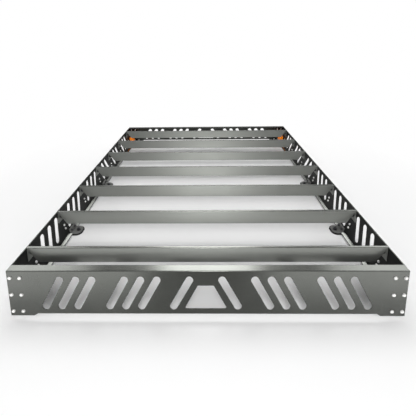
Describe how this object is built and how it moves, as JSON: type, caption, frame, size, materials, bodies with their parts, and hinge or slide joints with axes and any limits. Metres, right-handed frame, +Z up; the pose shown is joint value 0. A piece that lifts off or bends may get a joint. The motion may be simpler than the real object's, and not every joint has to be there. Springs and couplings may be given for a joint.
{
  "type": "vehicle roof rack",
  "caption": "Low open roof rack: slotted black sheet panels round the edge, folded crossbars between them, bracket feet on rubber pads and amber marker lamps.",
  "frame": {"origin": "middle of the rack, on the plane of the foot pads' undersides", "axes": "+X across the vehicle to its right, +Y to the vehicle's front, +Z up"},
  "size_m": [1.265, 1.6196, 0.147],
  "materials": {
    "panel_paint": "satin black powder coat on folded sheet",
    "bar_paint": "satin black powder coat on folded channels",
    "foot_paint": "dark grey satin coat on bent plate",
    "pad_rubber": "matt black rubber",
    "lens_amber": "clear amber moulded lens",
    "lamp_frame": "matt black moulded frame",
    "bolt_steel": "bright plated bolt heads and nuts"
  },
  "bodies": {
    "root": {"rear_panel": "panel_paint", "front_panel": "panel_paint", "side_panel_left": "panel_paint", "side_panel_right": "panel_paint", "crossbar_1": "bar_paint", "crossbar_2": "bar_paint", "crossbar_3": "bar_paint", "crossbar_4": "bar_paint", "crossbar_5": "bar_paint", "crossbar_6": "bar_paint", "crossbar_7": "bar_paint", "foot_bracket_front_left": "foot_paint", "foot_pad_front_left": "pad_rubber", "foot_bracket_front_right": "foot_paint", "foot_pad_front_right": "pad_rubber", "foot_bracket_middle_left": "foot_paint", "foot_pad_middle_left": "pad_rubber", "foot_bracket_middle_right": "foot_paint", "foot_pad_middle_right": "pad_rubber", "foot_bracket_rear_left": "foot_paint", "foot_pad_rear_left": "pad_rubber", "foot_bracket_rear_right": "foot_paint", "foot_pad_rear_right": "pad_rubber", "marker_lens_left": "lens_amber", "marker_frame_left": "lamp_frame", "marker_lens_right": "lens_amber", "marker_frame_right": "lamp_frame"}
  },
  "joints": []
}
